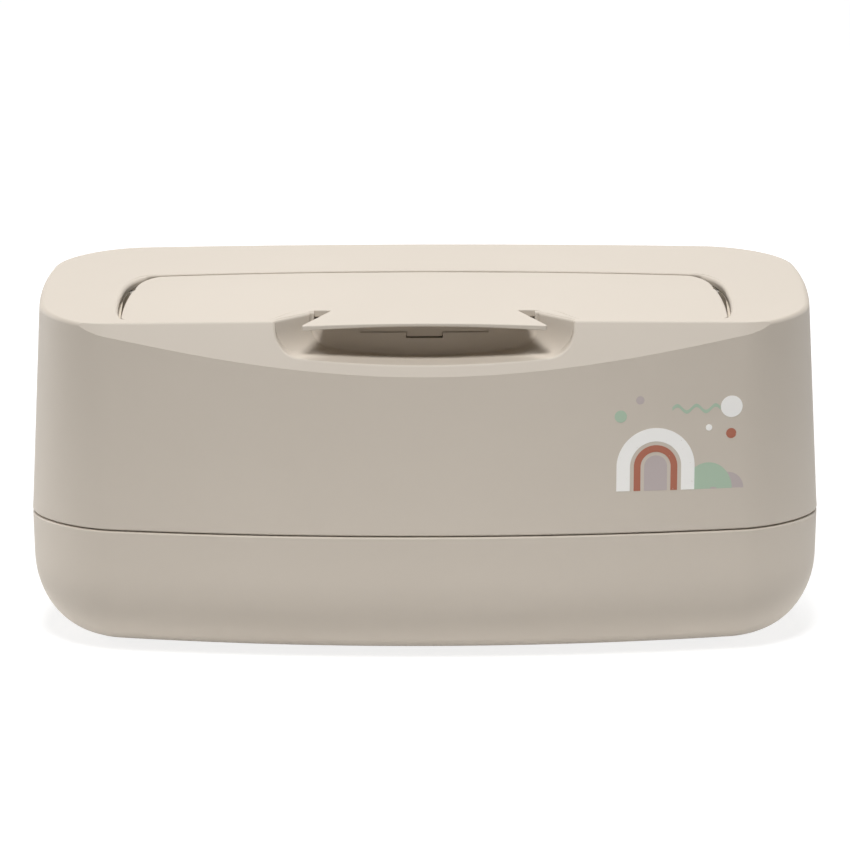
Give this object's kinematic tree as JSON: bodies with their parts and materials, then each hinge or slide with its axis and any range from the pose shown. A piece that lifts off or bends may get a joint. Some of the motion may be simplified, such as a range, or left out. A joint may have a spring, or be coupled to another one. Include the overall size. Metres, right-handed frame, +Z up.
{
  "type": "wet wipes box",
  "caption": "Bowed plastic wipes box: tray, lift-off tapered housing with finger scoop, and a sealed rear-hinged lid with a flared thumb lip over a dispensing mouth.",
  "frame": {"origin": "centre of the bounding box on the surface that the box stands on", "axes": "+X along the width to the right seen from the front, +Y to the back where the lid hinges, +Z up; the finger scoop faces -Y"},
  "size_m": [0.254, 0.1062, 0.1177],
  "materials": {
    "shell_plastic": "moulded polypropylene, fine satin texture, warm sand beige",
    "frame_plastic": "moulded polypropylene, plain satin",
    "seal_rubber": "soft silicone, translucent white",
    "pad_rubber": "soft grey-beige rubber",
    "pin_steel": "bright zinc-plated steel"
  },
  "bodies": {
    "tray": {"base_tray": "shell_plastic", "pad_front_left": "pad_rubber", "pad_front_right": "pad_rubber", "pad_rear_left": "pad_rubber", "pad_rear_right": "pad_rubber"},
    "housing": {"upper_housing": "shell_plastic", "inner_frame": "frame_plastic", "frame_screw_1": "pin_steel", "frame_screw_2": "pin_steel", "frame_screw_3": "pin_steel", "frame_screw_4": "pin_steel", "frame_screw_5": "pin_steel", "frame_screw_6": "pin_steel", "hinge_pin_left": "pin_steel", "hinge_pin_right": "pin_steel"},
    "lid": {"lid_cover": "shell_plastic", "lid_liner": "frame_plastic", "lid_seal": "seal_rubber"}
  },
  "joints": [
    {"name": "housing_lift", "type": "slide", "parent": "tray", "child": "housing", "axis": [0, 0, 1], "range_m": [0, 0.08]},
    {"name": "lid_hinge", "type": "hinge", "parent": "housing", "child": "lid", "pos_m": [0, -0.002, 0.10917], "axis": [-1, 0, 0], "range_deg": [0, 95]}
  ]
}
